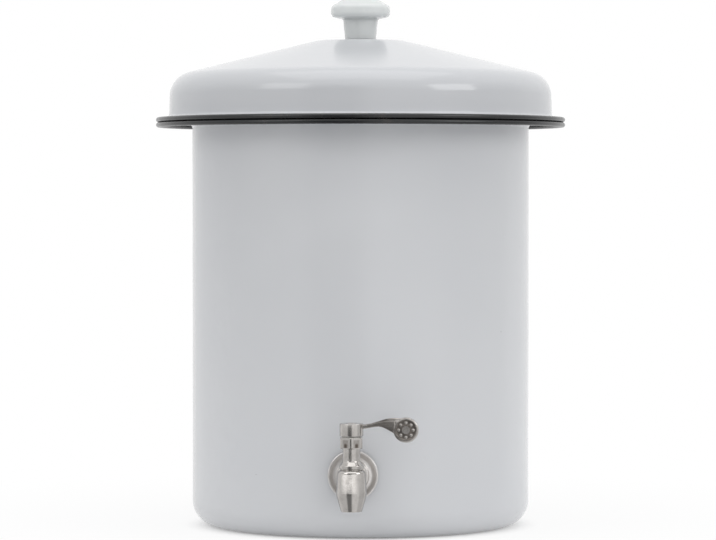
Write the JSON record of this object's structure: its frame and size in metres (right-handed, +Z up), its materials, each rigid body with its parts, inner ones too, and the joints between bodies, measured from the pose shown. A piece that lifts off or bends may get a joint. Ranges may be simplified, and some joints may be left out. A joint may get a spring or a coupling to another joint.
{
  "type": "gravity water filter",
  "caption": "Countertop gravity water filter: enamelled steel container with a clay filter pot inside, a domed lid with a knob and a quarter-turn lever tap.",
  "frame": {"origin": "middle of the base, on the surface that the container stands on", "axes": "+Z up along the container's axis; -Y is the front, where the tap is; the closed lever points along +X"},
  "size_m": [0.352, 0.3645, 0.4522],
  "materials": {
    "white_enamel": "gloss",
    "black_enamel": "gloss",
    "knob_white": "gloss",
    "fired_clay": "matte",
    "silicone": "matte",
    "chrome": "polished",
    "brass": "satin",
    "steel": "satin",
    "black_rubber": "matte",
    "white_plastic": "satin"
  },
  "bodies": {
    "container": {"container_shell": "white_enamel", "filter_seat_ring": "silicone", "tap_outer_gasket": "black_rubber", "tap_inner_gasket": "silicone", "tap_backing_washer": "steel", "tap_lock_nut": "brass", "tap_wall_flange": "chrome", "tap_body": "chrome", "valve_inlet_seat": "white_plastic", "tap_gland_nut": "chrome"},
    "filter": {"filter_pot": "fired_clay"},
    "lid": {"lid_shell": "white_enamel", "lid_knob": "knob_white", "knob_gasket": "silicone", "knob_threaded_insert": "brass", "knob_backing_washer": "steel", "knob_screw": "steel"},
    "lever": {"tap_lever": "chrome", "valve_rotor": "brass", "stem_o_rings": "black_rubber", "lever_slip_washer": "white_plastic", "lever_screw_washer": "steel", "lever_screw": "chrome"}
  },
  "joints": [
    {"name": "tap_turn", "type": "hinge", "parent": "container", "child": "lever", "pos_m": [0, -0.176, 0.054], "axis": [0, 0, 1], "range_deg": [-90, 0]},
    {"name": "filter_lift", "type": "slide", "parent": "container", "child": "filter", "axis": [0, 0, 1], "range_m": [0, 0.26]},
    {"name": "lid_lift", "type": "slide", "parent": "filter", "child": "lid", "axis": [0, 0, 1], "range_m": [0, 0.15]}
  ]
}
